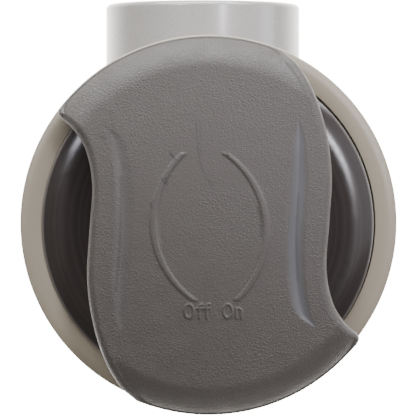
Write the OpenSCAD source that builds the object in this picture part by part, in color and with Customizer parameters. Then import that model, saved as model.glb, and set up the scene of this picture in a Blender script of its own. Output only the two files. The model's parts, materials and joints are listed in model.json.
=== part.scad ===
// Panel-mounted quarter-turn water valve: bottom and side pipe sockets, a hollow rotor,
// a screwed bonnet and a moulded grip handle over a trim ring.
// Millimetres. Z is the spindle axis, the handle is at the top, the side socket points along +Y,
// and the origin is the centre of the bottom socket's mouth.

/* [Ports] */
// Bore of both pipe sockets, for 1-1/2 inch pipe
socket_bore = 48.4; // [48.2:0.1:48.7]
// Depth of both sockets, mouth to stop
socket_depth = 33; // [28:1:36]
// Wall of the sockets
socket_wall = 5.8; // [5:0.1:5.9]
// Water way past the bottom socket's stop
throat_bore = 41; // [36:0.5:42]
// Water way past the side socket's stop; a quarter turn has to cover it
side_throat_bore = 37; // [32:0.5:37]
// Distance from the spindle axis to the side socket's mouth
side_reach = 66; // [64:0.5:68]
// Height of the side socket's axis
side_axis_z = 68; // [67.5:0.1:68.4]

/* [Body] */
// Bore of the rotor chamber
chamber_bore = 61; // [60.8:0.1:61.2]
// Outside diameter of the barrel
barrel_d = 70; // [69:0.5:71]
// Crest diameter of the neck's outside thread
neck_thread_d = 76; // [75.5:0.1:76]
// Pitch of the outside thread
neck_pitch = 3; // [2.5:0.5:3]
// Height of the top of the neck
neck_top_z = 131; // [130.5:0.1:131]

/* [Trim] */
// Outside diameter of the trim ring
trim_d = 108; // [106:0.5:110]
// Inside diameter of the trim ring's lip
trim_mouth_d = 96; // [95.8:0.1:96.4]
// How far the loose trim ring has slid along X and along Y
trim_play = 0.28; // [0:0.01:0.28]
// Height of the trim ring's inner lip
trim_top_z = 132.3; // [131.8:0.1:132.5]
// Outside diameter of the bonnet's dome
dome_d = 95.1; // [94.5:0.1:95.1]

/* [Handle] */
// Outside diameter across the handle's two rounded ends
handle_d = 106.8; // [105:0.2:107]
// Height of the handle's crown
crown_z = 153.5; // [152.5:0.5:155]
// Radius of the crown's curve
crown_r = 350; // [250:10:500]
// Radius that rolls the crown over at the rounded ends
end_roll = 6.5; // [5:0.5:7]
// Wall of the handle's shell
shell_wall = 2.4; // [2:0.1:2.8]

/* [Fits] */
// Radial clearance of the spindle in its bush
running_gap = 0.08; // [0.05:0.01:0.1]
// Gap between pieces that are screwed or laid together
static_gap = 0.1; // [0.05:0.01:0.15]

/* [Hidden] */
$fn = 96;
ease = 0.01;

// ---- derived sizes: body ----
socket_r = socket_bore / 2;
socket_out_r = socket_r + socket_wall;
throat_r = throat_bore / 2;
side_throat_r = side_throat_bore / 2;
chamber_r = chamber_bore / 2;
barrel_r = barrel_d / 2;
barrel_z = socket_depth + 3;
chamber_floor_z = socket_depth + 5;
shoulder_z = 104;
rim_r = 1.6;
thread_h = 1.1;
thread_foot_z = 99;
neck_r = neck_thread_d / 2;
neck_root_r = neck_r - thread_h;
seal_land_r = 31.5;
seal_d = 2.6;
seal_z = 110.8;
seal_groove_r = seal_land_r - seal_d - 0.15;
plug_thread_r = 33.6;
plug_pitch = 3;
plug_thread_z = 117;

// ---- derived sizes: panel clamp ----
panel_z = 122;
gasket_h = 3;
collar_z = panel_z + gasket_h;
collar_flange_r = 50;
collar_flange_h = 3.5;
collar_hub_r = 43.5;
collar_top_z = neck_top_z;
washer_h = 1.5;
panel_gap = 5.5;
nut_h = 12;
nut_bore_r = neck_r + 0.15;
nut_r = 44.5;
nut_lug_r = 48;
washer_z = panel_z - panel_gap - washer_h;
nut_z = washer_z - nut_h;

// ---- derived sizes: rotor and spindle ----
drum_r = chamber_r - 0.3;
drum_wall = 3.2;
seat_h = 3;
drum_foot_z = chamber_floor_z + seat_h + 0.2;
drum_top_z = 102;
drum_roof = 5;
window_r = side_throat_r + 0.5;
seal_in_r = side_throat_r + 0.9;
seal_out_r = seal_in_r + 2;
foot_boss_r = 12.5;
drive_w = 13;
pin_r = 1.95;
pin_z = drum_top_z - 11;
spindle_r = 9;
spindle_flange_r = 12.5;
spindle_flange_h = 2.4;
oring_bore_r = spindle_r + static_gap;
oring_d = 1.7;
oring_z = [112, 118];
washer_top_z = 106;
thrust_h = washer_top_z - drum_top_z - spindle_flange_h - 0.1;
bush_z = 124;
spindle_top_z = 144.5;
screw_r = 2.5;

// ---- derived sizes: bonnet ----
dome_r = dome_d / 2;
dome_bend_r = 14;
dome_bend_a = 32;
dome_skirt_z = 129.6;
dome_top_z = 135.2;
dish_r = 24;
dish_z = 134.2;
boss_r = 21;
boss_top_z = 136.4;
tower_r = 13;
tower_top_z = 138.6;
stop_in_r = 16;
stop_out_r = 20;
stop_top_z = 141;
stop_play = 0.6;
lug_half = 10;

// ---- derived sizes: handle ----
handle_r = handle_d / 2;
skirt_z = 133.4;
belly_z = 136.3;
belly_r = 44.6;
skirt_r = 48.6;
hub_r = 14.8;
hub_foot_z = 139.4;
hub_top_z = 146.2;
hub_disc_z = 142.2;
key_z = 144;
bead_z = 144.6;
flute_r = 5;
flute_x = 26;
flute_reach = 28;

// Right-hand edge of the handle, from the upper shoulder down to the lower tip.
shoulder_a = 67.5;
tip_a = -41.5;
side_points = [
  handle_r * [cos(shoulder_a), sin(shoulder_a)], [25.5, 44.5], [30, 36], [33, 25.5], [34.3, 14],
  [33.6, 1], [32.8, -11.5], [34.5, -21], [38, -27], [42, -30.7], [42, -33],
  handle_r * [cos(tip_a), sin(tip_a)]
];

// ---- shared shapes ----
function arc_points(c, r, a1, a2, n = 8) =
  [for (i = [0:n]) let (a = a1 + (a2 - a1) * i / n) c + r * [cos(a), sin(a)]];

// Catmull-Rom points through p, with steps between each pair.
function spline_points(p, steps = 5) = [
  for (i = [0:len(p) - 2], k = [0:steps - 1])
    let (a = p[max(i - 1, 0)], b = p[i], c = p[i + 1], d = p[min(i + 2, len(p) - 1)], t = k / steps)
      0.5 * (2 * b + (c - a) * t + (2 * a - 5 * b + 4 * c - d) * t * t
        + (3 * b - a - 3 * c + d) * t * t * t)
];

// Thread section up a wall, as parallel trapezoid ridges from z1 to z2.
function thread_points(root, crest, z1, z2, pitch) = [
  for (i = [0:floor((z2 - z1) / pitch) - 1])
    let (z = z1 + i * pitch)
      each [[root, z], [crest, z + pitch * 0.3], [crest, z + pitch * 0.55], [root, z + pitch * 0.85]]
];

// Points of a closed outline moved inwards by d; the outline runs clockwise.
function inset_points(p, d) = [
  for (i = [0:len(p) - 1])
    let (
      a = p[(i + len(p) - 1) % len(p)],
      b = p[(i + 1) % len(p)],
      t = (b - a) / norm(b - a)
    ) p[i] + d * [t[1], -t[0]]
];

module turned(points) rotate_extrude() polygon(points);

module tube(r_in, r_out, z, h) {
  translate([0, 0, z]) difference() {
    cylinder(r = r_out, h = h);
    translate([0, 0, -1]) cylinder(r = r_in, h = h + 2);
  }
}

module oring(r, section, z) {
  translate([0, 0, z]) rotate_extrude() translate([r, 0]) circle(r = section / 2, $fn = 32);
}

// Sector of a tube from angle a1 to a2, under 180 degrees.
module sector(r_in, r_out, z, h, a1, a2) {
  reach = r_out * 3;
  intersection() {
    tube(r_in, r_out, z, h);
    translate([0, 0, z - 1]) linear_extrude(h + 2)
      polygon([[0, 0], reach * [cos(a1), sin(a1)], reach * [cos((a1 + a2) / 2), sin((a1 + a2) / 2)],
        reach * [cos(a2), sin(a2)]]);
  }
}

// Section of a socket with a rounded mouth at height 0.
module socket_shape(length) {
  turned(concat([[0, 0]], arc_points([socket_out_r - rim_r, rim_r], rim_r, -90, 0),
    [[socket_out_r, length], [0, length]]));
}

// Bore of a socket from its mouth at height 0, and the water way of radius r behind it.
module socket_bore_shape(r, length) {
  translate([0, 0, -1]) cylinder(r = socket_r, h = socket_depth + 1);
  cylinder(r = r, h = length);
}

module along_side_port() translate([0, side_reach, side_axis_z]) rotate([90, 0, 0]) children();

// Web between the bottom socket and the underside of the side socket.
module gusset() {
  y = socket_out_r - 2;
  rotate([90, 0, 90]) translate([0, 0, -1.5]) linear_extrude(3)
    polygon([[y, 14], [side_reach - 12, side_axis_z - 25], [y, side_axis_z - 20]]);
}

// ---- body ----
module body_outside() {
  turned(concat([[0, 10], [socket_out_r, 10], [socket_out_r, barrel_z - 4], [barrel_r, barrel_z],
    [barrel_r, thread_foot_z - 5], [neck_root_r, thread_foot_z]],
    thread_points(neck_root_r, neck_r, thread_foot_z, neck_top_z - 1, neck_pitch),
    [[neck_root_r, neck_top_z - 1], [neck_root_r - 0.8, neck_top_z], [0, neck_top_z]]));
}

// Solid that the bonnet's plug fills, grown by gap.
module plug_space(gap) {
  r = plug_thread_r + gap;
  turned(concat([[0, shoulder_z], [seal_land_r, shoulder_z], [seal_land_r, plug_thread_z - 2],
    [r - 1, plug_thread_z]], thread_points(r - 1, r, plug_thread_z, neck_top_z - 1, plug_pitch),
    [[r - 1, neck_top_z + 1], [0, neck_top_z + 1]]));
}

module valve_body() color("white") difference() {
  union() {
    body_outside();
    socket_shape(barrel_z);
    along_side_port() socket_shape(side_reach - 10);
    gusset();
  }
  socket_bore_shape(throat_r, chamber_floor_z + 1);
  translate([0, 0, chamber_floor_z]) cylinder(r = chamber_r, h = shoulder_z - chamber_floor_z + ease);
  plug_space(static_gap);
  along_side_port() socket_bore_shape(side_throat_r, side_reach);
}

module seat_ring() color("ivory")
  tube(throat_r + 1, chamber_r - static_gap, chamber_floor_z, seat_h);

// ---- rotor ----
module square_foot(gap) {
  w = drive_w - 2 * gap;
  translate([-w / 2, -w / 2, drum_top_z - 16]) cube([w, w, 16 + ease]);
}

module cross_hole(r, length)
  translate([0, length / 2, pin_z]) rotate([90, 0, 0]) cylinder(r = r, h = length);

module rotor_drum() color("gainsboro") difference() {
  translate([0, 0, drum_foot_z]) cylinder(r = drum_r, h = drum_top_z - drum_foot_z);
  difference() {
    translate([0, 0, drum_foot_z - 1])
      cylinder(r = drum_r - drum_wall, h = drum_top_z - drum_roof - drum_foot_z + 1);
    translate([0, 0, drum_top_z - drum_roof - 12]) cylinder(r = foot_boss_r, h = 13);
  }
  translate([0, foot_boss_r + 1, side_axis_z]) rotate([-90, 0, 0]) cylinder(r = window_r, h = drum_r);
  translate([0, 0, -1]) square_foot(0);
  translate([0, 0, 1]) square_foot(0);
  cross_hole(pin_r + 0.05, 28);
  gate_ring(0.1);
}

// Ring round the closed side's middle: the seal, or with a gap the groove that holds it.
module gate_ring(gap) intersection() {
  translate([0, 0, side_axis_z]) rotate([0, 90, 0]) difference() {
    cylinder(r = seal_out_r + gap, h = drum_r + 5);
    translate([0, 0, -1]) cylinder(r = seal_in_r - gap, h = drum_r + 7);
  }
  tube(drum_r - 1.6 - gap, drum_r + 1, drum_foot_z, drum_top_z - drum_foot_z);
}

module gate_seal() color("dimgray") intersection() {
  gate_ring(0);
  cylinder(r = chamber_r - 0.1, h = drum_top_z);
}

module rotor_pin() color("silver") cross_hole(pin_r, 24);

// The two flats that the hub sits on, as the pieces outside them.
module beyond_flats(gap) for (s = [0, 180]) rotate(s)
  translate([-10, 7 + gap, hub_foot_z + 0.4]) cube([20, 5, 10]);

module spindle() color("gainsboro") difference() {
  union() {
    translate([0, 0, drum_top_z]) cylinder(r = spindle_flange_r, h = spindle_flange_h);
    translate([0, 0, drum_top_z + 1]) cylinder(r = spindle_r, h = spindle_top_z - drum_top_z - 1);
    square_foot(0.1);
  }
  translate([0, 0, spindle_top_z - 16]) cylinder(r = screw_r, h = 17);
  for (z = oring_z) tube(spindle_r - 1.7, spindle_r + 1, z - 1.4, 2.8);
  beyond_flats(0);
  cross_hole(pin_r + 0.05, 28);
}

module spindle_oring(i) color("black") oring(oring_bore_r - 0.05 - oring_d / 2, oring_d, oring_z[i]);

module thrust_washer() color("ivory")
  tube(spindle_r + 0.2, spindle_flange_r, washer_top_z - thrust_h, thrust_h);

// ---- bonnet ----
module bonnet_outside() {
  bend_c = [dome_r - dome_bend_r * sin(dome_bend_a), dome_top_z - dome_bend_r];
  turned(concat([[0, washer_top_z], [seal_land_r - 0.1, washer_top_z],
    [seal_land_r - 0.1, plug_thread_z - 2], [plug_thread_r - 1, plug_thread_z]],
    thread_points(plug_thread_r - 1, plug_thread_r, plug_thread_z, neck_top_z - 1, plug_pitch),
    [[plug_thread_r - 1, neck_top_z + 0.2], [dome_r - 3.4, neck_top_z + 0.2],
      [dome_r - 2.4, dome_skirt_z], [dome_r, dome_skirt_z]],
    arc_points(bend_c, dome_bend_r, 90 - dome_bend_a, 90, 12),
    [[dish_r, dish_z], [boss_r, boss_top_z], [tower_r + 1.4, boss_top_z],
      [tower_r, tower_top_z], [0, tower_top_z]]));
}

module bonnet_cap() color("#3a3638") difference() {
  union() {
    bonnet_outside();
    for (i = [0:2]) sector(stop_in_r, stop_out_r, boss_top_z - 1, stop_top_z - boss_top_z + 1,
      lug_half + stop_play + 83 * i - (i > 0 ? 1 : 0), lug_half + stop_play + 83 * (i + 1) - 0.2);
  }
  translate([0, 0, washer_top_z - 1]) cylinder(r = oring_bore_r, h = 60);
  translate([0, 0, bush_z]) cylinder(r = spindle_r + 3, h = 60);
  tube(seal_groove_r, seal_land_r + 1, seal_z - 1.8, 3.6);
  tube(16, 26, washer_top_z - 1, 12);
}

module bonnet_oring() color("black") oring(seal_groove_r + 0.1 + seal_d / 2, seal_d, seal_z);

module spindle_bush() color("ivory")
  tube(spindle_r + running_gap, spindle_r + 2.95, bush_z, tower_top_z - bush_z);

// ---- panel clamp ----
module collar_nut() color("whitesmoke") difference() {
  union() {
    translate([0, 0, collar_z]) cylinder(r = collar_flange_r, h = collar_flange_h);
    translate([0, 0, collar_z]) cylinder(r = collar_hub_r, h = collar_top_z - collar_z);
  }
  turned(concat([[0, collar_z - 5], [neck_root_r + static_gap, collar_z - 5]],
    thread_points(neck_root_r + static_gap, neck_r + static_gap, thread_foot_z + 8 * neck_pitch,
      neck_top_z - 1, neck_pitch),
    [[neck_root_r + static_gap, collar_top_z + 1], [0, collar_top_z + 1]]));
  for (a = [0:60:300]) rotate(a) translate([collar_hub_r - 2.5, -3, collar_z + collar_flange_h])
    cube([5, 6, 10]);
}

module panel_gasket() color("#303030") tube(neck_r + 1, collar_flange_r - 1.5, panel_z, gasket_h);

// The ring rests on the collar's flange and snaps under it with a bead.
module trim_ring() color("#a89d8e") translate([trim_play, trim_play, 0]) {
  r = trim_d / 2;
  wall_r = r - 3.4;
  lip = trim_mouth_d / 2;
  foot = panel_z + 1;
  ledge = collar_z + collar_flange_h;
  turned(concat([[wall_r, foot], [r - 0.8, foot], [r, foot + 0.8]],
    arc_points([r - 1.8, trim_top_z - 3.2], 1.8, 0, 80),
    arc_points([lip + 0.9, trim_top_z - 0.9], 0.9, 80, 180),
    [[lip, ledge], [wall_r, ledge], [wall_r, collar_z - 0.1], [wall_r - 0.9, collar_z - 0.8],
      [wall_r - 0.9, collar_z - 1.2]]));
}

module locknut() color("whitesmoke") difference() {
  union() {
    turned([[0, nut_z], [nut_r - 1, nut_z], [nut_r, nut_z + 1], [nut_r, nut_z + nut_h - 2.5],
      [nut_lug_r - 1, nut_z + nut_h - 2.5], [nut_lug_r - 1, nut_z + nut_h], [0, nut_z + nut_h]]);
    for (a = [22.5:45:337.5]) rotate(a) translate([nut_r - 3, -4.5, nut_z + 0.5])
      cube([nut_lug_r - nut_r + 2.8, 9, nut_h - 1]);
  }
  translate([0, 0, nut_z - 1]) cylinder(r = nut_bore_r, h = nut_h + 2);
}

module slip_washer() color("ivory")
  tube(nut_bore_r + 0.1, nut_lug_r - 1.5, washer_z, washer_h - 0.05);

// ---- handle ----
// Four keys that stop the cover turning on the hub, or with a gap the slots they sit in.
module hub_keys(gap) for (a = [0:90:270]) rotate(a)
  translate([hub_r - 2 - gap, -1 - gap, key_z]) cube([4, 2 + 2 * gap, hub_top_z - key_z + 1]);

module handle_hub() color("dimgray") difference() {
  union() {
    translate([0, 0, hub_foot_z]) cylinder(r = 12.6, h = hub_top_z - hub_foot_z);
    translate([0, 0, hub_disc_z]) cylinder(r = hub_r, h = hub_top_z - hub_disc_z);
    translate([0, 0, hub_disc_z]) cylinder(r = stop_out_r, h = 1.6);
    sector(stop_in_r + 0.3, stop_out_r, boss_top_z + 0.5, hub_disc_z - boss_top_z,
      270 - lug_half, 270 + lug_half);
  }
  difference() {
    translate([0, 0, hub_foot_z - 1])
      cylinder(r = spindle_r + 0.05, h = spindle_top_z - hub_foot_z + 1.05);
    beyond_flats(0.05);
  }
  translate([0, 0, hub_foot_z]) cylinder(r = screw_r + 0.2, h = 20);
  tube(hub_r - 0.6, hub_r + 1, bead_z - 0.1, 1.2);
  hub_keys(0.1);
}

module hub_washer() color("silver") tube(screw_r + 0.15, 6, hub_top_z, 1);

module hub_screw() color("silver") difference() {
  union() {
    translate([0, 0, hub_top_z + 1 - 17]) cylinder(r = screw_r - 0.05, h = 17);
    turned([[0, hub_top_z + 1], [4.7, hub_top_z + 1], [4.7, hub_top_z + 2.2],
      [3.6, hub_top_z + 3.2], [0, hub_top_z + 3.5]]);
  }
  for (a = [0, 90]) rotate(a) translate([-2.4, -0.5, hub_top_z + 2.2]) cube([4.8, 1, 4]);
}

half_outline = concat(spline_points(side_points),
  arc_points([0, 0], handle_r, tip_a - 1, shoulder_a - 179, 24));
handle_outline = concat(half_outline, [for (p = half_outline) -p]);

// Solid under the crown, from the height that clears the bonnet and trim ring.
module handle_envelope(drop) {
  r = handle_r - drop;
  top = crown_z - drop;
  roll = end_roll;
  c = [r - roll, top - (r - roll) * (r - roll) / (2 * crown_r) - roll];
  turned(concat([[0, belly_z - 2 * drop], [belly_r + drop, belly_z - 2 * drop],
    [skirt_r + drop, skirt_z - 2 * drop], [r, skirt_z - 2 * drop]], arc_points(c, roll, 0, 80),
    [for (i = [7:-1:0]) let (x = (r - roll) * i / 7) [x, top - x * x / (2 * crown_r)]]));
}

module plan(points) linear_extrude(200) polygon(points);

// Shallow hollows along both sides of the crown; they fade out where the crown falls away.
module flutes() {
  floor_z = crown_z - (flute_x * flute_x + flute_reach * flute_reach) / (2 * crown_r);
  for (x = [-flute_x, flute_x]) translate([x, -flute_reach - 1, floor_z + flute_r])
    rotate([-90, 0, 0]) cylinder(r = flute_r, h = 2 * flute_reach + 2);
}

// Ribs and the collar that grips the hub, reaching up into the middle of the shell.
module cover_inside() intersection() {
  handle_envelope(shell_wall / 2);
  union() {
    tube(hub_r + static_gap, hub_r + 2.4, key_z, 20);
    tube(hub_r - 0.5, hub_r + 1, bead_z, 1);
    hub_keys(0);
    for (s = [0, 180]) rotate(s) {
      translate([-1, hub_r + 2.3, key_z]) cube([2, handle_r - hub_r - 12, 20]);
      translate([hub_r + 2.3, -1, key_z]) cube([29 - hub_r, 2, 20]);
    }
  }
}

module handle_cover() color("#716c68") {
  difference() {
    intersection() {
      plan(handle_outline);
      handle_envelope(0);
    }
    intersection() {
      plan(inset_points(handle_outline, shell_wall));
      handle_envelope(shell_wall);
    }
    flutes();
  }
  cover_inside();
}

valve_body();
seat_ring();
rotor_drum();
gate_seal();
rotor_pin();
spindle();
spindle_oring(0);  // spindle_oring_lower
spindle_oring(1);  // spindle_oring_upper
thrust_washer();
spindle_bush();
bonnet_cap();
bonnet_oring();
collar_nut();
panel_gasket();
trim_ring();
locknut();
slip_washer();
handle_hub();
hub_washer();
hub_screw();
handle_cover();
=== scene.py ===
"""Looks of the panel-mounted quarter-turn valve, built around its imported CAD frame.

Lengths in the shape code are millimetres in the row frame; meshes are written in metres.
"""

import json
import math

import bmesh
import bpy
import numpy as np
from mathutils import Matrix, Vector


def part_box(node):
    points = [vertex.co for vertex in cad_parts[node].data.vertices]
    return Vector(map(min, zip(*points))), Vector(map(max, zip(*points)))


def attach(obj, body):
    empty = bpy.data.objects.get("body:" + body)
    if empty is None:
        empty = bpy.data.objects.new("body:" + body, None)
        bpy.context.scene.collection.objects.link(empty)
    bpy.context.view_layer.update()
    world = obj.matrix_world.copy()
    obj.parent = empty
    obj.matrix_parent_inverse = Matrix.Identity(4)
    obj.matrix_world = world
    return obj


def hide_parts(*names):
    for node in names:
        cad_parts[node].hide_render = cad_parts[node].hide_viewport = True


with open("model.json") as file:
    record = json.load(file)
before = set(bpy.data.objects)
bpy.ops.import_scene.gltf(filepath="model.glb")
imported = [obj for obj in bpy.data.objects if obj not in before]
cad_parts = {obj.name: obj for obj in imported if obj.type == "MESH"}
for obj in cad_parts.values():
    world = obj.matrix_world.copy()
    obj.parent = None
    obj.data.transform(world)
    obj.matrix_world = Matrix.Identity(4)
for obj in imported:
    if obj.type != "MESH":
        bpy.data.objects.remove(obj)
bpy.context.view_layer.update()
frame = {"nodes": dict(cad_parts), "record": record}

MM = 0.001
TAU = 2 * math.pi


def span(node):
    """Lowest and highest corner of a CAD node, in millimetres."""
    low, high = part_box(node)
    return np.array(low) / MM, np.array(high) / MM


# ---------------------------------------------------------------- curves


def arc(centre, radius, start, end, steps=8):
    """Points on an arc, with angles in degrees."""
    angles = np.radians(np.linspace(start, end, steps + 1))
    return [(centre[0] + radius * math.cos(a), centre[1] + radius * math.sin(a)) for a in angles]


def spline(points, steps=16):
    """Catmull-Rom curve through points, as an array."""
    p = np.array(points, float)
    p = np.vstack([2 * p[0] - p[1], p, 2 * p[-1] - p[-2]])
    t = np.linspace(0, 1, steps, endpoint=False)[:, None]
    made = []
    for a, b, c, d in zip(p, p[1:], p[2:], p[3:]):
        cubic = 2 * b + (c - a) * t + (2 * a - 5 * b + 4 * c - d) * t**2 + (3 * b - a - 3 * c + d) * t**3
        made.append(cubic / 2)
    made.append(p[-2:-1])
    return np.vstack(made)


def smoothstep(low, high, value):
    """0 below low, 1 above high and a smooth rise between them."""
    t = np.clip((value - low) / (high - low), 0, 1)
    return t * t * (3 - 2 * t)


def resample_closed(points, count):
    """The closed outline as count points at equal steps along it."""
    loop = np.vstack([points, points[:1]])
    along = np.concatenate([[0], np.cumsum(np.linalg.norm(np.diff(loop, axis=0), axis=1))])
    wanted = np.linspace(0, along[-1], count, endpoint=False)
    return np.column_stack([np.interp(wanted, along, loop[:, k]) for k in (0, 1)])


def smooth_closed(values, passes):
    """Averages a closed run of values with their neighbours."""
    for _ in range(passes):
        values = (np.roll(values, 1, 0) + 2 * values + np.roll(values, -1, 0)) / 4
    return values


def distance_to_lines(points, lines):
    """Shortest distance from each point to a set of polylines."""
    best = np.full(len(points), 1e9)
    for line in lines:
        for a, b in zip(line[:-1], line[1:]):
            edge = b - a
            t = np.clip(((points - a) @ edge) / (edge @ edge), 0, 1)
            best = np.minimum(best, np.linalg.norm(points - a - t[:, None] * edge, axis=1))
    return best


# ---------------------------------------------------------------- meshes


def make_object(name, vertices, faces, sharp_deg=35):
    """A mesh object from millimetre vertices, smooth apart from edges over sharp_deg."""
    mesh = bpy.data.meshes.new(name)
    mesh.from_pydata([tuple(v) for v in np.array(vertices) * MM], [], faces)
    mesh.validate()
    mesh.polygons.foreach_set("use_smooth", [True] * len(mesh.polygons))
    mesh.set_sharp_from_angle(angle=math.radians(sharp_deg))
    made = bpy.data.objects.new(name, mesh)
    bpy.context.scene.collection.objects.link(made)
    return made


def loft(rows, closed_rows=False):
    """Faces over an array of closed rings, rows[k][i], with ring k next to ring k + 1."""
    count, width = len(rows), len(rows[0])
    faces = []
    for k in range(count if closed_rows else count - 1):
        a, b = k * width, ((k + 1) % count) * width
        faces += [(a + i, a + (i + 1) % width, b + (i + 1) % width, b + i) for i in range(width)]
    return faces


def lathe(name, profile, segments=256, offset=(0, 0)):
    """Turns a closed profile of (radius, height) about the Z axis. The profile runs anticlockwise."""
    angles = np.arange(segments) * TAU / segments
    rows = [
        np.column_stack(
            [offset[0] + r * np.cos(angles), offset[1] + r * np.sin(angles), np.full(segments, z)]
        )
        for r, z in profile
    ]
    return make_object(name, np.vstack(rows), loft(rows, closed_rows=True))


def bands(steps, width, gap=None):
    """Faces over a sweep of a closed profile with width points, leaving out the band after row gap."""
    return [
        (k * width + i, (k + 1) * width + i, (k + 1) * width + (i + 1) % width, k * width + (i + 1) % width)
        for k in range(steps)
        if k != gap
        for i in range(width)
    ]


def cap(row, width, turned=False):
    """One face that fills a row of a sweep."""
    corners = range(row * width, (row + 1) * width)
    return tuple(reversed(corners)) if turned else tuple(corners)


def capped_sweep(steps, width):
    """Faces of a sweep with both of its ends filled."""
    return [*bands(steps, width), cap(0, width), cap(steps, width, turned=True)]


def partial_ring(profile, start, end, steps=90):
    """Vertices and faces of a closed profile swept about the Z axis between two angles."""
    vertices = [
        (r * math.cos(a), r * math.sin(a), z)
        for a in np.radians(np.linspace(start, end, steps + 1))
        for r, z in profile
    ]
    return vertices, capped_sweep(steps, len(profile))


def join_meshes(made, *shapes):
    """Adds closed shapes, each (vertices, faces) in millimetres, to an object's mesh."""
    mesh = made.data
    vertices = [v.co / MM for v in mesh.vertices]
    faces = [tuple(p.vertices) for p in mesh.polygons]
    name = made.name
    for more, their_faces in shapes:
        start = len(vertices)
        vertices += [Vector(v) for v in more]
        faces += [tuple(start + i for i in face) for face in their_faces]
    bpy.data.objects.remove(made)
    bpy.data.meshes.remove(mesh)
    return make_object(name, vertices, faces)


def recalculate(made):
    """Turns every face of closed shapes outwards."""
    work = bmesh.new()
    work.from_mesh(made.data)
    bmesh.ops.recalc_face_normals(work, faces=work.faces)
    work.to_mesh(made.data)
    work.free()
    return made


# ---------------------------------------------------------------- materials


class Look:
    """A material under construction: a Principled shader and the nodes that feed it."""

    def __init__(self, name, colour, roughness, **sockets):
        self.material = bpy.data.materials.new(name)
        self.material.use_nodes = True
        self.tree = self.material.node_tree
        self.shader = self.tree.nodes["Principled BSDF"]
        self.shader.inputs["Base Color"].default_value = (*colour, 1)
        self.shader.inputs["Roughness"].default_value = roughness
        for key, value in sockets.items():
            self.shader.inputs[key.replace("_", " ")].default_value = value
        self.place = self.node("ShaderNodeTexCoord").outputs["Object"]

    def node(self, kind, settings=None, **inputs):
        made = self.tree.nodes.new(kind)
        for key, value in (settings or {}).items():
            setattr(made, key, value)
        for key, value in inputs.items():
            self.feed(made.inputs[key.replace("_", " ")], value)
        return made

    def feed(self, socket, value):
        if isinstance(value, bpy.types.NodeSocket):
            self.tree.links.new(value, socket)
        else:
            socket.default_value = value

    def noise(self, per_metre, detail=3.0, place=None):
        made = self.node("ShaderNodeTexNoise", Scale=per_metre, Detail=detail)
        self.feed(made.inputs["Vector"], place or self.place)
        return made.outputs["Fac"]

    def math(self, operation, a, b=0.0):
        made = self.node("ShaderNodeMath", {"operation": operation})
        self.feed(made.inputs[0], a)
        self.feed(made.inputs[1], b)
        return made.outputs[0]

    def remap(self, value, low, high, to_low=0.0, to_high=1.0):
        made = self.node("ShaderNodeMapRange", Value=value)
        made.inputs["From Min"].default_value = low
        made.inputs["From Max"].default_value = high
        self.feed(made.inputs["To Min"], to_low)
        self.feed(made.inputs["To Max"], to_high)
        return made.outputs["Result"]

    def mix(self, factor, a, b):
        made = self.node("ShaderNodeMix", {"data_type": "RGBA"})
        self.feed(made.inputs["Factor"], factor)
        self.feed(made.inputs["A"], a if isinstance(a, bpy.types.NodeSocket) else (*a, 1))
        self.feed(made.inputs["B"], b if isinstance(b, bpy.types.NodeSocket) else (*b, 1))
        return made.outputs["Result"]

    def vector_math(self, operation, a, b=None):
        """A vector operation on a; b is a socket, or three numbers."""
        made = self.node("ShaderNodeVectorMath", {"operation": operation})
        self.feed(made.inputs[0], a)
        if b is not None:
            self.feed(made.inputs[1], b)
        return made

    def stretch(self, place, scale):
        made = self.node("ShaderNodeMapping")
        self.feed(made.inputs["Vector"], place)
        made.inputs["Scale"].default_value = scale
        return made.outputs["Vector"]

    def bump(self, height, distance, strength):
        made = self.node("ShaderNodeBump", Height=height, Distance=distance, Strength=strength)
        self.feed(self.shader.inputs["Normal"], made.outputs["Normal"])

    def set(self, socket, value):
        self.feed(self.shader.inputs[socket], value)


def shade(colour, factor):
    return tuple(c * factor for c in colour)


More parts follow.
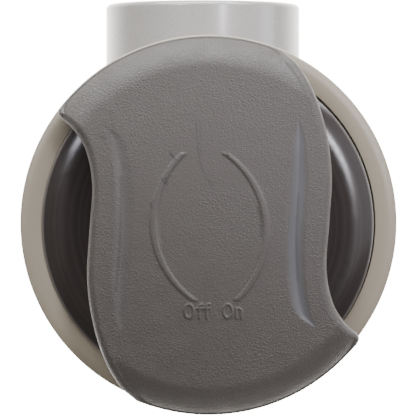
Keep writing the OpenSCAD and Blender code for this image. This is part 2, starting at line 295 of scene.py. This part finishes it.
def grained_plastic():
    """Leather-grained matt plastic.

    The attribute 'smooth' is 1 where the mould is plain, and the other attribute is 1 on nicks and flow
    lines and on painted shade in the flutes' creases, along the badge's bands and beside the letters.
    """
    colour = (0.0705, 0.0613, 0.0540)
    moulded = (0.077, 0.075, 0.078)
    look = Look("handle_grain", colour, 0.5)
    plain = look.node("ShaderNodeAttribute", {"attribute_name": "smooth"}).outputs["Fac"]
    mark_and_shade = look.node("ShaderNodeAttribute", {"attribute_name": "mark_and_shade"}).outputs["Fac"]

    # Pebbles: cells a little wider than high, pushed about so that no two are alike.
    wobble = look.node("ShaderNodeTexNoise", Scale=380.0, Detail=3.0)
    look.feed(wobble.inputs["Vector"], look.place)
    push = look.vector_math("SCALE", wobble.outputs["Color"])
    push.inputs["Scale"].default_value = 0.0026
    moved = look.vector_math("ADD", look.place, push.outputs["Vector"])
    cells = look.node("ShaderNodeTexVoronoi", {"feature": "DISTANCE_TO_EDGE"}, Scale=1250.0)
    look.feed(cells.inputs["Vector"], look.stretch(moved.outputs["Vector"], (0.78, 1.0, 1.0)))
    pebble = look.remap(cells.outputs["Distance"], 0.0, 0.30)
    fine = look.noise(2600.0, 3.0)

    # The palm rubs the grain down round the spindle's axis.
    level = look.vector_math("MULTIPLY", look.place, (1, 1, 0))
    reach = look.vector_math("LENGTH", level.outputs["Vector"])
    palm = look.remap(reach.outputs["Value"], 0.016, 0.044, 0.62, 1.05)
    worn = look.math("MULTIPLY", look.remap(look.noise(55.0, 2.0), 0.35, 0.65, 0.65, 1.0), palm)
    height = look.math("MULTIPLY", look.math("ADD", pebble, look.math("MULTIPLY", fine, 0.6)), worn)
    grain = look.math("MULTIPLY", height, look.math("SUBTRACT", 1.0, plain))
    ripple = look.math("MULTIPLY", look.noise(120.0, 2.0), 1.5)
    look.bump(look.math("ADD", grain, ripple), 0.00008, 0.8)

    # Colour: patchy, darker in the grain's hollows as painted shade, then the plain mould's, then nicks,
    # flow lines and painted shade on top.
    broad = look.noise(38.0, 4.0)
    patchy = look.mix(look.remap(broad, 0.3, 0.7), shade(colour, 0.93), shade(colour, 1.07))
    creased = look.mix(look.math("MULTIPLY", grain, 0.35), shade(colour, 0.84), patchy)
    toned = look.mix(plain, creased, moulded)
    look.set("Base Color", look.mix(mark_and_shade, toned, shade(colour, 0.30)))
    rough = look.remap(look.noise(160.0, 3.0), 0.3, 0.7, 0.44, 0.56)
    look.set("Roughness", look.math("SUBTRACT", rough, look.math("MULTIPLY", plain, 0.05)))
    return look.material


def glossy_charcoal(dome_radius):
    """Polished dark plastic with faint turned rings and a paler edge, which is a painted reflection of the
    trim ring's lip.
    """
    colour = (0.031, 0.025, 0.023)
    painted_edge_reflection = (0.15, 0.135, 0.12)
    look = Look("dome_gloss", colour, 0.2)
    ripple = look.noise(60.0, 2.0)
    scuff = look.noise(500.0, 3.0)
    apart = look.node("ShaderNodeSeparateXYZ")
    look.feed(apart.inputs["Vector"], look.place)
    across = look.math("POWER", apart.outputs["X"], 2.0)
    along = look.math("POWER", apart.outputs["Y"], 2.0)
    radius = look.math("POWER", look.math("ADD", across, along), 0.5)
    rings = look.node("ShaderNodeTexNoise", {"noise_dimensions": "1D"}, Scale=700.0, Detail=3.0)
    look.feed(rings.inputs["W"], radius)
    streak = look.remap(rings.outputs["Fac"], 0.3, 0.7)
    look.set("Roughness", look.remap(scuff, 0.35, 0.75, 0.18, 0.25))
    turned = look.mix(streak, shade(colour, 0.88), shade(colour, 1.18))
    # Paler over the last 0.8 mm to the rim: painted reflection of the trim ring's lip.
    edge = look.remap(radius, dome_radius - 0.0008, dome_radius - 0.0001)
    look.set("Base Color", look.mix(edge, turned, painted_edge_reflection))
    look.bump(look.math("ADD", ripple, look.math("MULTIPLY", streak, 0.10)), 0.00004, 0.25)
    return look.material


def satin_plastic(name, colour, roughness, texture=0.25, **sockets):
    """Moulded plastic with a faint orange peel, uneven gloss and slight colour drift."""
    look = Look(name, colour, roughness, **sockets)
    peel = look.noise(900.0, 3.0)
    drift = look.noise(30.0, 3.0)
    look.set("Base Color", look.mix(look.remap(drift, 0.3, 0.7), shade(colour, 0.96), shade(colour, 1.04)))
    look.set("Roughness", look.remap(peel, 0.3, 0.7, roughness - 0.05, roughness + 0.08))
    look.bump(peel, 0.00005, texture)
    return look.material


def rubber(name, colour):
    """Matt rubber with fine specks."""
    look = Look(name, colour, 0.7)
    speck = look.noise(1800.0, 4.0)
    look.set("Base Color", look.mix(speck, shade(colour, 0.8), shade(colour, 1.5)))
    look.set("Roughness", look.remap(speck, 0.3, 0.7, 0.62, 0.8))
    look.bump(speck, 0.00004, 0.3)
    return look.material


def stainless():
    """Brushed stainless steel with its lines round the part."""
    colour = (0.56, 0.56, 0.57)
    look = Look("stainless", colour, 0.3, Metallic=1.0)
    lines = look.noise(900.0, 4.0, look.stretch(look.place, (1, 1, 14)))
    look.set("Roughness", look.remap(lines, 0.3, 0.7, 0.24, 0.42))
    look.set("Base Color", look.mix(lines, shade(colour, 0.9), colour))
    look.bump(lines, 0.00002, 0.3)
    return look.material


MATERIALS = {
    "handle_plastic": grained_plastic(),
    "dome_plastic": glossy_charcoal(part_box("bonnet_cap")[1][0]),
    "trim_plastic": satin_plastic("trim_satin", (0.266, 0.227, 0.170), 0.36),
    "body_plastic": satin_plastic(
        "body_white", (0.33, 0.309, 0.286), 0.3, 0.18, Coat_Weight=0.7, Coat_Roughness=0.15
    ),
    "nut_plastic": satin_plastic("nut_white", (0.47, 0.46, 0.44), 0.36),
    "rotor_plastic": satin_plastic("rotor_grey", (0.52, 0.52, 0.51), 0.4),
    "bearing_plastic": satin_plastic("bearing_ivory", (0.68, 0.65, 0.55), 0.45, 0.15),
    "hub_plastic": satin_plastic("hub_dark", (0.055, 0.053, 0.052), 0.45),
    "seal_rubber": rubber("seal_black", (0.016, 0.016, 0.017)),
    "gasket_rubber": rubber("gasket_black", (0.024, 0.024, 0.024)),
    "steel": stainless(),
}


def finish_piece(piece, body, slot, *nodes):
    """Gives a piece its material and body, and hides the CAD nodes it stands for."""
    piece.data.materials.clear()
    piece.data.materials.append(MATERIALS[slot])
    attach(piece, body)
    if nodes:
        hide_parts(*nodes)


# ---------------------------------------------------------------- handle

handle_low, handle_high = span("handle_cover")
HANDLE_R = handle_high[1]
CROWN_Z = handle_high[2]
SKIRT_Z = handle_low[2]

# The skirt is higher between the round ends, where the dome shows.
BELLY_Z = SKIRT_Z + 2.9

# Radius of the crown's slight curve, and the shell's wall.
CROWN_R = 350
WALL = 2.4

# The bevel round both ends, as its width and height, and the roll along the sides.
END_BEVEL = (8.6, 6.2)
SIDE_ROLL = 2.7

# Points round the shell's mesh, and the circle where its outer and inner crown meet.
SPOKES = 720
INNER_R = 29.5

# Right-hand edge between its two meeting points with the round ends.
SHOULDER_DEG, TIP_DEG = 67.5, -41.5
SIDE = [(25.5, 44.5), (30, 36), (33, 25.5), (34.3, 14), (33.6, 1), (32.8, -11.5), (34.5, -21),
        (38, -27), (42, -30.7), (42, -33)]

# Right-hand flute from top to bottom: place along Y, inner rim, crease, outer rim and depth.
FLUTE = np.array([
    (29.5, 24.7, 24.8, 24.9, 0.0),
    (24.6, 23.3, 24.9, 26.8, 0.36),
    (14.0, 22.3, 24.7, 27.6, 0.76),
    (7.0, 21.7, 24.3, 27.3, 0.82),
    (-4.0, 21.1, 23.8, 26.6, 0.82),
    (-15.7, 21.5, 24.4, 27.0, 0.70),
    (-24.0, 23.8, 26.0, 28.4, 0.34),
    (-28.0, 29.0, 29.4, 29.8, 0.0),
])

# The left-hand flute's depth as a share of the right-hand one's.
WORN_FLUTE = 0.65

# Nicks, flow lines and painted shade in both flutes' creases: points along each, the half width and the
# strength.
MARKS_AND_CREASE_SHADE = [
    ([(-10.9, 20.5), (-9.6, 18.8)], 0.28, 0.9),
    ([(-13.5, 13.5), (-12.1, 12.0)], 0.26, 0.85),
    ([(-12.6, 13.7), (-11.7, 12.5)], 0.20, 0.7),
    ([(-16.4, 6.6), (-16.1, 5.2)], 0.26, 0.75),
    ([(4.8, 20.6), (5.1, 19.8)], 0.28, 0.7),
    ([(-30.2, 25.1), (-29.0, 24.5)], 0.24, 0.8),
    ([(-27.8, 31.4), (-26.7, 26.6)], 0.26, 0.30),
    ([(-3.8, 29.0), (-3.2, 20.5), (-2.4, 16.6), (0.8, 10.7)], 0.26, 0.36),
    ([(-2.6, 28.0), (-2.6, 20.0)], 0.26, 0.22),
    # These two rows are painted shade along the flutes' creases.
    ([(-24.7, 14.0), (-24.7, 6.0), (-25.0, -3.0), (-25.6, -12.0), (-26.2, -18.0)], 0.42, 0.40),
    ([(24.6, 9.0), (24.0, 0.0), (24.1, -8.0), (24.6, -15.0)], 0.42, 0.22),
]

# The badge's two bands lie between circles: centre and radius of the right-hand pair.
BAND_IN = ((-11.3, -1.2), 26.0)
BAND_OUT = ((-9.8, -1.25), 26.65)
BAND_REACH = 20.8
BAND_HEIGHT = 0.22
LETTER_HEIGHT = 0.20


def on_rim(angle):
    """Point on the round ends' circle, with the angle in degrees."""
    a = math.radians(angle)
    return (HANDLE_R * math.cos(a), HANDLE_R * math.sin(a))


def handle_outline():
    """The whole outline, clockwise, with the left side as the right one turned half round."""
    side = spline([on_rim(SHOULDER_DEG), *SIDE, on_rim(TIP_DEG)])
    round_end = np.array([on_rim(a) for a in np.linspace(TIP_DEG, SHOULDER_DEG - 180, 120)[1:-1]])
    half = np.vstack([side, round_end])
    return resample_closed(np.vstack([half, -half]), SPOKES)


def crown(points):
    """Height of the crown, which bends over in a bevel round both ends."""
    wide, high = END_BEVEL
    power = 1.75
    far = np.linalg.norm(points, axis=1)
    share = np.clip((far - HANDLE_R + wide) / wide, 0, 1)
    bevel = high * (1 - (1 - share**power) ** (1 / power))
    return CROWN_Z - far**2 / (2 * CROWN_R) - bevel


def flute_depth(points):
    """Depth of the flutes at each point, and how plain the mould is there, 0 to 1."""
    curve = spline(FLUTE, 24)[::-1]
    depth = np.zeros(len(points))
    plain = np.zeros(len(points))
    narrowest = 0.05
    for p, share in ((points, 1.0), (-points, WORN_FLUTE)):
        left, crease, right, deep = (np.interp(p[:, 1], curve[:, 0], curve[:, k]) for k in (1, 2, 3, 4))
        x = p[:, 0]
        from_left = (x - left) / np.maximum(crease - left, narrowest)
        from_right = (right - x) / np.maximum(right - crease, narrowest)
        rise = np.clip(np.where(x < crease, from_left, from_right), 0, 1)
        within = (p[:, 1] < FLUTE[0, 0]) & (p[:, 1] > FLUTE[-1, 0])
        soft = 0.45 * rise + 0.55 * smoothstep(0, 1, rise)
        depth = np.maximum(depth, np.where(within, share * deep * soft, 0))
        plain = np.maximum(plain, np.where(within, share**4 * smoothstep(0, 0.7, rise), 0))
    return depth, plain


def badge_height(points):
    """Two raised bands that enclose an oval."""
    height = np.zeros(len(points))
    for p in (points, -points):
        outer = BAND_OUT[1] - np.linalg.norm(p - BAND_OUT[0], axis=1)
        inner = np.linalg.norm(p - BAND_IN[0], axis=1) - BAND_IN[1]
        depth = np.minimum(np.minimum(outer, inner), BAND_REACH - np.abs(p[:, 1]))
        depth = np.where(p[:, 0] > 0, depth, 0)
        height = np.maximum(height, BAND_HEIGHT * smoothstep(0, 0.5, depth))
    return height


def loop_line(cx, cy, rx, ry, start=0, end=360, steps=20):
    """Points along an ellipse or a part of one, with angles in degrees."""
    a = np.radians(np.linspace(start, end, steps + 1))
    return np.column_stack([cx + rx * np.cos(a), cy + ry * np.sin(a)])


def letter_lines():
    """Plain stroke letters for the two states, low on the crown."""
    base, cap, low_case = -25.4, 3.8, 2.6
    lines = []
    for x in (-5.8, 5.0):
        lines.append(loop_line(x, base + cap / 2, 1.25, cap / 2))
    for x in (-2.9, -0.9):
        hook = loop_line(x + 0.7, base + cap - 0.7, 0.7, 0.7, 180, 70, 6)
        lines.append(np.vstack([[(x, base)], hook]))
        lines.append(np.array([(x - 0.6, base + low_case), (x + 0.8, base + low_case)]))
    arch = loop_line(8.1, base + low_case - 0.7, 0.7, 0.7, 180, 0, 8)
    lines.append(np.vstack([arch, [(8.8, base)]]))
    lines.append(np.array([(7.4, base), (7.4, base + low_case)]))
    return lines


def letter_height(points):
    """Height of the raised letters, measured only near them."""
    near = (points[:, 1] < -20) & (points[:, 1] > -28) & (np.abs(points[:, 0]) < 12)
    height = np.zeros(len(points))
    gap = distance_to_lines(points[near], letter_lines())
    height[near] = LETTER_HEIGHT * (1 - smoothstep(0.16, 0.44, gap))
    return height


def badge_shadows():
    """Painted shade along the sides of the two bands that face away from the light, and painted shadow
    beside the letters.
    """
    (x, y), r = BAND_IN
    (far_x, far_y), far_r = BAND_OUT
    dark = [loop_line(x, y, r, r, -4, 55), loop_line(-x, -y, r, r, 132, 174)]
    faint = [loop_line(-far_x, -far_y, far_r, far_r, 180, 233), loop_line(x, y, r, r, -46, -14)]
    # Painted shadow of each letter, set a little down and to the left.
    beside = [line - (0.22, 0.10) for line in letter_lines()]
    lines = [(line, 0.18, 0.45) for line in dark] + [(line, 0.18, 0.34) for line in faint]
    return lines + [(line, 0.20, 0.32) for line in beside]


def mark_and_shade_strength(points):
    """How dark each point is with nicks, flow lines and painted shade, 0 to 1."""
    strength = np.zeros(len(points))
    for line, half_width, dark in MARKS_AND_CREASE_SHADE + badge_shadows():
        gap = distance_to_lines(points, [np.array(line)])
        strength = np.maximum(strength, dark * (1 - smoothstep(half_width * 0.4, half_width * 1.6, gap)))
    return strength


def crown_surface(points):
    """Height of the finished crown at each point, and how plain its mould is there."""
    depth, plain = flute_depth(points)
    z = crown(points) - depth + badge_height(points) + letter_height(points)
    return np.minimum(z, CROWN_Z - 0.01), plain


def inner_circle(rim):
    """A circle inside the waist, a point for each rim point, at even angles that follow the rim's."""
    angles = np.unwrap(np.arctan2(rim[:, 1], rim[:, 0]))
    even = angles[0] - np.arange(SPOKES) * TAU / SPOKES
    angles = even + smooth_closed(angles - even, 2500)
    return INNER_R * np.column_stack([np.cos(angles), np.sin(angles)])


def handle_mesh():
    """Shell of the grip, as rows of SPOKES points from its foot over the crown and back inside."""
    edge = handle_outline()
    along = np.roll(edge, -1, 0) - np.roll(edge, 1, 0)
    along /= np.linalg.norm(along, axis=1)[:, None]
    inward = smooth_closed(np.column_stack([along[:, 1], -along[:, 0]]), 4)
    inward /= np.linalg.norm(inward, axis=1)[:, None]

    # The edge's own roll is tight round the ends, where the bevel has already brought it down.
    end_roll = 0.5
    on_end = (np.linalg.norm(edge, axis=1) > HANDLE_R - 0.15).astype(float)
    share = smooth_closed(on_end, 60)
    roll = SIDE_ROLL - (SIDE_ROLL - end_roll) * share

    rows, plain = [], []

    def add(points, z, smooth=0.0):
        rows.append(np.column_stack([points, z]))
        plain.append(np.broadcast_to(smooth, len(points)))

    # Skirt outside, from its foot up to the roll.
    end_share = smoothstep(0.0, 0.5, share)
    foot_z = BELLY_Z + (SKIRT_Z - BELLY_Z) * end_share
    top = crown(edge + inward * roll[:, None])
    start_z = top - roll
    add(edge + inward * 0.5, foot_z)
    add(edge + inward * 0.15, foot_z + 0.15)
    for t in np.linspace(0, 1, 5):
        add(edge, foot_z + 0.5 + (start_z - foot_z - 0.5) * t)

    # Roll, as a quarter circle in each spoke's inward direction.
    for a in np.radians(np.linspace(9, 90, 10)):
        points = edge + inward * (roll * (1 - np.cos(a)))[:, None]
        smooth = crown_surface(points)[1]
        add(points, top - roll * (1 - np.sin(a)), smooth)
    rim = edge + inward * roll[:, None]

    # Crown: from the rim to a circle inside the waist, then in rings towards the middle.
    inner = inner_circle(rim)
    for t in np.linspace(0, 1, 44)[1:] ** 1.25:
        points = rim + (inner - rim) * t
        z, smooth = crown_surface(points)
        add(points, z, smooth)
    for t in np.concatenate([np.linspace(1, 0.5, 50)[1:], np.linspace(0.5, 0.02, 14)[1:]]):
        z, smooth = crown_surface(inner * t)
        add(inner * t, z, smooth)
    outside = len(rows)

    # Inside of the shell, from the middle of its ceiling out and down to the foot.
    lining = edge + inward * WALL
    for t in (0.02, 0.3, 0.6, 0.85, 0.95):
        add(lining * t, crown(lining * t) - WALL - (0.0 if t < 0.9 else 1.0))
    add(lining, crown(lining) - WALL - 2.5)
    add(lining, foot_z + 0.4)
    add(edge + inward * (WALL - 0.4), foot_z)

    # The rows join up, apart from the crown's middle and the ceiling's, which are both filled.
    vertices = np.vstack(rows)
    faces = bands(len(rows) - 1, SPOKES, gap=outside - 1)
    last = (len(rows) - 1) * SPOKES
    faces += [(last + i, i, (i + 1) % SPOKES, last + (i + 1) % SPOKES) for i in range(SPOKES)]
    faces += [cap(outside - 1, SPOKES), cap(outside, SPOKES, turned=True)]
    made = make_object("handle_shell", vertices, faces, sharp_deg=50)
    # Nicks and flow lines, with painted shade in the flutes' creases, along the bands and beside the
    # letters, only above the skirt.
    marks_and_shade = mark_and_shade_strength(vertices[:, :2]) * (vertices[:, 2] > BELLY_Z + 5)
    for name, values in (("smooth", np.concatenate(plain)), ("mark_and_shade", marks_and_shade)):
        attribute = made.data.attributes.new(name, "FLOAT", "POINT")
        attribute.data.foreach_set("value", values.astype(np.float32))
    return made


def rib(direction, start, end, foot=144.0, steps=12):
    """Upright rib from start to end along a direction; it rises into the shell's wall."""
    d = np.array(direction, float)
    across = np.array([-d[1], d[0]])
    vertices = []
    for r in np.linspace(start, end, steps + 1):
        lift = max(0.0, r - end + 2.0) ** 2 / 4
        top = float(crown(np.array([d * r]))[0]) - 1.6
        low = min(foot + lift, top - 1)
        section = [(-1, top), (-1, low + 0.4), (-0.6, low), (0.6, low), (1, low + 0.4), (1, top)]
        vertices += [(*(d * r + across * side), z) for side, z in section]
    return vertices, capped_sweep(steps, len(section))


def handle_inside():
    """Collar that grips the hub and the four ribs that hold it."""
    top = CROWN_Z - 2.0
    collar = [(14.9, 144.3), (15.2, 144.0), (16.9, 144.0), (17.2, 144.3), (17.2, top), (14.9, top)]
    made = lathe("handle_collar", collar, 128)
    ribs = [rib(d, 17.0, 29.0) for d in ((1, 0), (-1, 0))]
    ribs += [rib(d, 17.0, 41.0) for d in ((0, 1), (0, -1))]
    return recalculate(join_meshes(made, *ribs))


finish_piece(handle_mesh(), "handle", "handle_plastic", "handle_cover")
finish_piece(handle_inside(), "handle", "handle_plastic")


# ---------------------------------------------------------------- dome and trim ring

dome_low, dome_high = span("bonnet_cap")
trim_low, trim_high = span("trim_ring")


def ridges(root, crest, low, high, pitch=3.0):
    """Profile points of ring threads, from low to high."""
    made = []
    for z in np.arange(low, high - pitch + 0.01, pitch):
        made += [(root, z), (crest, z + 0.3 * pitch), (crest, z + 0.55 * pitch), (root, z + 0.85 * pitch)]
    return made


def bonnet_mesh():
    """Plug, dome, boss and tower as one turned piece, with the stop ring standing on the boss."""
    r, foot, stop_top = dome_high[0], dome_low[2], dome_high[2]
    bush_low, bush_high = span("spindle_bush")
    bush_foot, tower = bush_low[2], bush_high[2]
    bend_r, bend_deg = 14, 32
    top = stop_top - 5.8
    skirt = top - 5.6
    boss = stop_top - 4.6
    profile = [(9.1, foot + 0.3), (9.4, foot), (31.0, foot), (31.4, foot + 0.4)]
    profile += [(31.4, 109.0), (28.75, 109.0), (28.75, 112.6), (31.4, 112.6), (31.4, 115.0)]
    profile += ridges(32.6, 33.6, 117.0, 130.0)
    profile += [(32.6, skirt + 1.6), (44.0, skirt + 1.6), (45.2, skirt + 0.1), (45.5, skirt)]
    profile += [(r - 0.4, skirt), (r - 0.1, skirt + 0.1), (r, skirt + 0.4)]
    bend_x = r - 0.15 - bend_r * math.sin(math.radians(bend_deg))
    bend = arc((bend_x, top - bend_r), bend_r, 90 - bend_deg, 90, 24)
    profile += [(r, bend[0][1] - 0.3)] + bend
    profile += [(36.5, top - 0.05), (33.0, top - 0.3), (29.0, top - 0.7)]
    profile += [(25.0, top - 1.0), (24.0, top - 1.0)]
    profile += arc((24.0, top + 0.2), 1.2, -90, -160, 5)
    profile += arc((20.2, boss - 0.8), 0.8, 20, 90, 4)
    profile += [(15.2, boss)] + arc((14.9, boss + 0.6), 0.6, -90, -170, 3)
    profile += [(13.0, tower - 0.4), (12.6, tower), (12.3, tower), (12.0, tower - 0.3)]
    profile += [(12.0, bush_foot), (9.1, bush_foot)]
    made = lathe("bonnet", profile)
    stop = [(16.0, boss - 1), (20.0, boss - 1), (20.0, stop_top - 0.4)]
    stop += [(19.6, stop_top), (16.4, stop_top), (16.0, stop_top - 0.4)]
    return join_meshes(made, partial_ring(stop, 10.6, 259.4))


def trim_mesh():
    """Trim ring with a rounded rim, a faintly curved top and a lip that closes in on the dome."""
    r = (trim_high[0] - trim_low[0]) / 2
    centre = (trim_low + trim_high) / 2
    foot, top = trim_low[2], trim_high[2]
    lip = r - 6
    profile = [(r - 3.4, foot + 5.5), (r - 3.4, foot)]
    profile += arc((r - 0.6, foot + 0.6), 0.6, -90, 0, 4)
    profile += arc((r - 0.8, top - 1.55), 0.8, 0, 68, 8)
    profile += arc((lip + 0.9 + 6.4 * math.cos(math.radians(68)), top - 6.7), 6.7, 70, 96, 8)
    profile += arc((lip - 0.1, top - 0.21), 0.2, 100, 180, 4)
    profile += [(lip - 0.3, top - 1.5), (lip, top - 2.0), (lip, foot + 5.5)]
    return lathe("trim", profile, offset=centre[:2])


finish_piece(bonnet_mesh(), "body", "dome_plastic", "bonnet_cap")
finish_piece(trim_mesh(), "body", "trim_plastic", "trim_ring")


# ---------------------------------------------------------------- body and locknut


def port_fillet(port_r=30.0, port_z=68.0, barrel_r=35.0):
    """Moulded fillet where the side socket leaves the barrel, as a ball rolled round the corner."""
    rows = []
    for turn in np.radians(np.arange(0, 360, 3)):
        ball = 3.2 - 1.8 * abs(math.cos(turn)) ** 3
        x = (port_r + ball) * math.sin(turn)
        rise = (port_r + ball) * math.cos(turn)
        y = math.sqrt((barrel_r + ball) ** 2 - x * x)
        centre = np.array([x, y, port_z + rise])
        in_barrel = barrel_r / (barrel_r + ball)
        in_port = port_r / (port_r + ball)
        on_barrel = np.array([x * in_barrel, y * in_barrel, port_z + rise]) - centre
        on_port = np.array([x * in_port, y, port_z + rise * in_port]) - centre
        between = math.acos(np.clip(on_barrel @ on_port / ball**2, -1, 1))
        section = []
        for t in np.linspace(0, 1, 9):
            a, b = math.sin((1 - t) * between), math.sin(t * between)
            section.append(centre + (a * on_barrel + b * on_port) / math.sin(between))
        deep = (port_r - 1) / (port_r + ball)
        section.append(
            np.array([x * deep, math.sqrt((barrel_r - 1) ** 2 - (x * deep) ** 2), port_z + rise * deep])
        )
        rows.append(np.array(section))
    return recalculate(make_object("port_fillet", np.vstack(rows), loft(rows, closed_rows=True)))


# Degrees from one lug of the locknut to the next, and the grip scallops round it.
LUG_STEP = 45
SCALLOPS = 48


def locknut_mesh():
    """Nut with eight rounded lugs under a thin flange; its bore clears the neck's thread."""
    low, high = span("locknut")
    centre_z = (low[2] + high[2]) / 2
    half = (high[2] - low[2]) / 2
    angles = np.arange(960) * TAU / 960
    from_lug = np.abs(np.degrees(angles) % LUG_STEP - LUG_STEP / 2)
    lug = 3.3 * (1 - smoothstep(4.6, 7.4, from_lug))
    scallop = 0.35 * np.cos(angles * SCALLOPS) * smoothstep(8.0, 10.0, from_lug)
    side = 44.4 + lug + scallop
    flange = np.maximum(side, 47.0)
    inner = np.full(len(angles), 38.15)
    levels = [(inner, -half + 0.6), (inner + 0.6, -half), (side - 1.0, -half), (side - 0.3, -half + 0.3)]
    levels += [(side, -half + 1.0), (side, half - 3.2), (side * 0.5 + flange * 0.5 - 0.2, half - 2.6)]
    levels += [(flange - 0.1, half - 2.4), (flange, half - 2.0), (flange, half - 0.4), (flange - 0.4, half)]
    levels += [(inner + 0.6, half), (inner, half - 0.6)]
    rows = [
        np.column_stack([r * np.cos(angles), r * np.sin(angles), np.full(len(angles), centre_z + z)])
        for r, z in levels
    ]
    return make_object("locknut_lugs", np.vstack(rows), loft(rows, closed_rows=True))


finish_piece(port_fillet(), "body", "body_plastic")
finish_piece(locknut_mesh(), "locknut", "nut_plastic", "locknut")


# ---------------------------------------------------------------- carried-over CAD pieces

for entry in frame["record"]["subparts"]:
    node = frame["nodes"][entry["node"]]
    node.data.materials.clear()
    node.data.materials.append(MATERIALS[entry["material_slot"]])


# ---------------------------------------------------------------- studio

# Height of the trim ring's face, in metres, which the camera and the lights are set from.
RING_Z = trim_low[2] * MM + 0.006


def aim(obj, target, up=(0, 1, 0)):
    """Points obj's -Z at target, with its +Y as near to up as it can be."""
    back = (obj.location - Vector(target)).normalized()
    right = Vector(up).cross(back).normalized()
    obj.rotation_euler = Matrix((right, back.cross(right), back)).transposed().to_euler()


def add_softbox(name, azimuth, zenith, distance, width, height, watts, colour):
    """Rectangular light; azimuth runs from +X towards +Y and zenith down from +Z, in degrees."""
    lamp = bpy.data.lights.new(name, "AREA")
    lamp.shape = "RECTANGLE"
    lamp.size, lamp.size_y = width, height
    lamp.energy = watts
    lamp.color = colour
    made = bpy.data.objects.new(name, lamp)
    a, z = math.radians(azimuth), math.radians(zenith)
    target = Vector((0, 0, RING_Z))
    made.location = target + distance * Vector(
        (math.cos(a) * math.sin(z), math.sin(a) * math.sin(z), math.cos(z))
    )
    aim(made, target, up=(0, 0, 1))
    bpy.context.scene.collection.objects.link(made)


def make_world(dim, sweep, spot):
    """Dim room over a pale sweep that is brightest straight below, where the camera looks."""
    world = bpy.data.worlds.new("studio")
    world.use_nodes = True
    tree = world.node_tree
    direction = tree.nodes.new("ShaderNodeTexCoord").outputs["Generated"]
    apart = tree.nodes.new("ShaderNodeSeparateXYZ")
    tree.links.new(direction, apart.inputs["Vector"])

    # Each ramp runs between two heights of the direction's Z and adds its brightness to the rest.
    ramps = ((-0.10, -0.90, dim, sweep), (-0.95, -0.985, 0.0, spot - sweep))
    parts = []
    for start, end, low, high in ramps:
        ramp = tree.nodes.new("ShaderNodeMapRange")
        ramp.interpolation_type = "SMOOTHSTEP"
        tree.links.new(apart.outputs["Z"], ramp.inputs["Value"])
        ramp.inputs["From Min"].default_value = start
        ramp.inputs["From Max"].default_value = end
        ramp.inputs["To Min"].default_value = low
        ramp.inputs["To Max"].default_value = high
        parts.append(ramp.outputs["Result"])
    total = tree.nodes.new("ShaderNodeMath")
    tree.links.new(parts[0], total.inputs[0])
    tree.links.new(parts[1], total.inputs[1])
    background = tree.nodes["Background"]
    background.inputs["Color"].default_value = (1.0, 0.97, 0.93, 1)
    tree.links.new(total.outputs[0], background.inputs["Strength"])
    bpy.context.scene.world = world


def make_camera():
    """Looks down the spindle from 0.75 m above the trim ring, a little left of it and behind it."""
    height = 0.75
    seen_width = 0.1195
    data = bpy.data.cameras.new("camera")
    data.lens = data.sensor_width * height / seen_width
    camera = bpy.data.objects.new("camera", data)
    camera.location = (-0.019, 0.025, RING_Z + height)
    aim(camera, (0.0001, 0.0046, RING_Z))
    bpy.context.scene.collection.objects.link(camera)
    bpy.context.scene.camera = camera


make_world(0.15, 6.4, 18.0)
add_softbox("key_right", 28, 26, 1.0, 0.18, 0.16, 3.8, (0.93, 0.92, 1.0))
add_softbox("left", 142, 37, 1.0, 0.18, 0.2, 2.9, (0.90, 0.90, 1.0))
add_softbox("back", 98, 71, 0.6, 0.8, 0.22, 11.0, (0.95, 0.98, 1.0))
add_softbox("low_right", 4, 84, 0.9, 0.6, 0.3, 2.6, (0.88, 0.90, 1.0))
add_softbox("back_right", 55, 68, 0.8, 0.3, 0.22, 3.4, (0.88, 0.90, 1.0))
add_softbox("side", 12, 48, 0.9, 0.6, 0.9, 1.9, (0.95, 0.93, 1.0))
add_softbox("front", 276, 74, 0.9, 0.8, 0.3, 2.8, (1.0, 0.97, 0.93))
make_camera()
